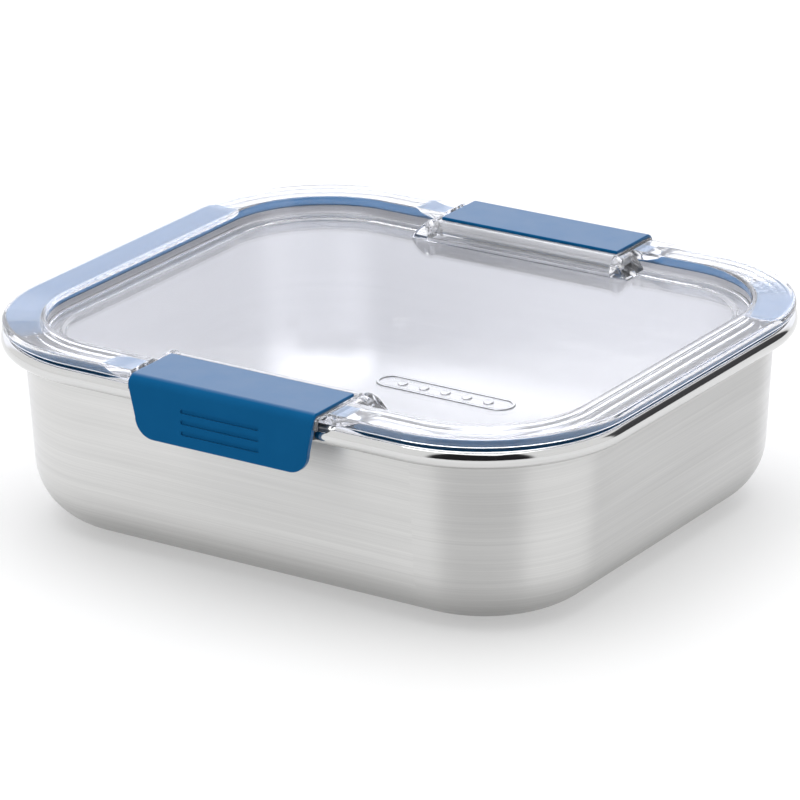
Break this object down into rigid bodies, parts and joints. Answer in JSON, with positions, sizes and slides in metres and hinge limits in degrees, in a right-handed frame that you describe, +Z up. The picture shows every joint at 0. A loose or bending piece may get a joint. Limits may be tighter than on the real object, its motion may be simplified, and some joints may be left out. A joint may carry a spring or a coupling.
{
  "type": "lunch box",
  "caption": "Rectangular steel lunch box with a clear press-on lid, a soft seal ring and a hinged clip on each long side.",
  "frame": {"origin": "centre of the base, on the surface the box stands on", "axes": "+Z up, +X along the long sides that carry the clips, -Y towards the front clip"},
  "size_m": [0.2, 0.18, 0.061],
  "materials": {
    "steel": "satin brushed wall, polished rolled rim",
    "clear_lid": "polished clear moulding",
    "seal_silicone": "smooth matte silicone",
    "clear_clip": "polished clear moulding",
    "grip_soft": "fine satin soft-touch overmould"
  },
  "bodies": {
    "tub": {"steel_tub": "steel"},
    "lid": {"lid_shell": "clear_lid", "lid_seal": "seal_silicone"},
    "front_clip": {"front_clip_frame": "clear_clip", "front_clip_grip": "grip_soft"},
    "rear_clip": {"rear_clip_frame": "clear_clip", "rear_clip_grip": "grip_soft"}
  },
  "joints": [
    {"name": "lid_lift", "type": "slide", "parent": "tub", "child": "lid", "axis": [0, 0, 1], "range_m": [0, 0.07]},
    {"name": "front_latch", "type": "hinge", "parent": "lid", "child": "front_clip", "pos_m": [0, -0.06705, 0.0581], "axis": [-1, 0, 0], "range_deg": [0, 150]},
    {"name": "rear_latch", "type": "hinge", "parent": "lid", "child": "rear_clip", "pos_m": [0, 0.06705, 0.0581], "axis": [1, 0, 0], "range_deg": [0, 150]}
  ]
}
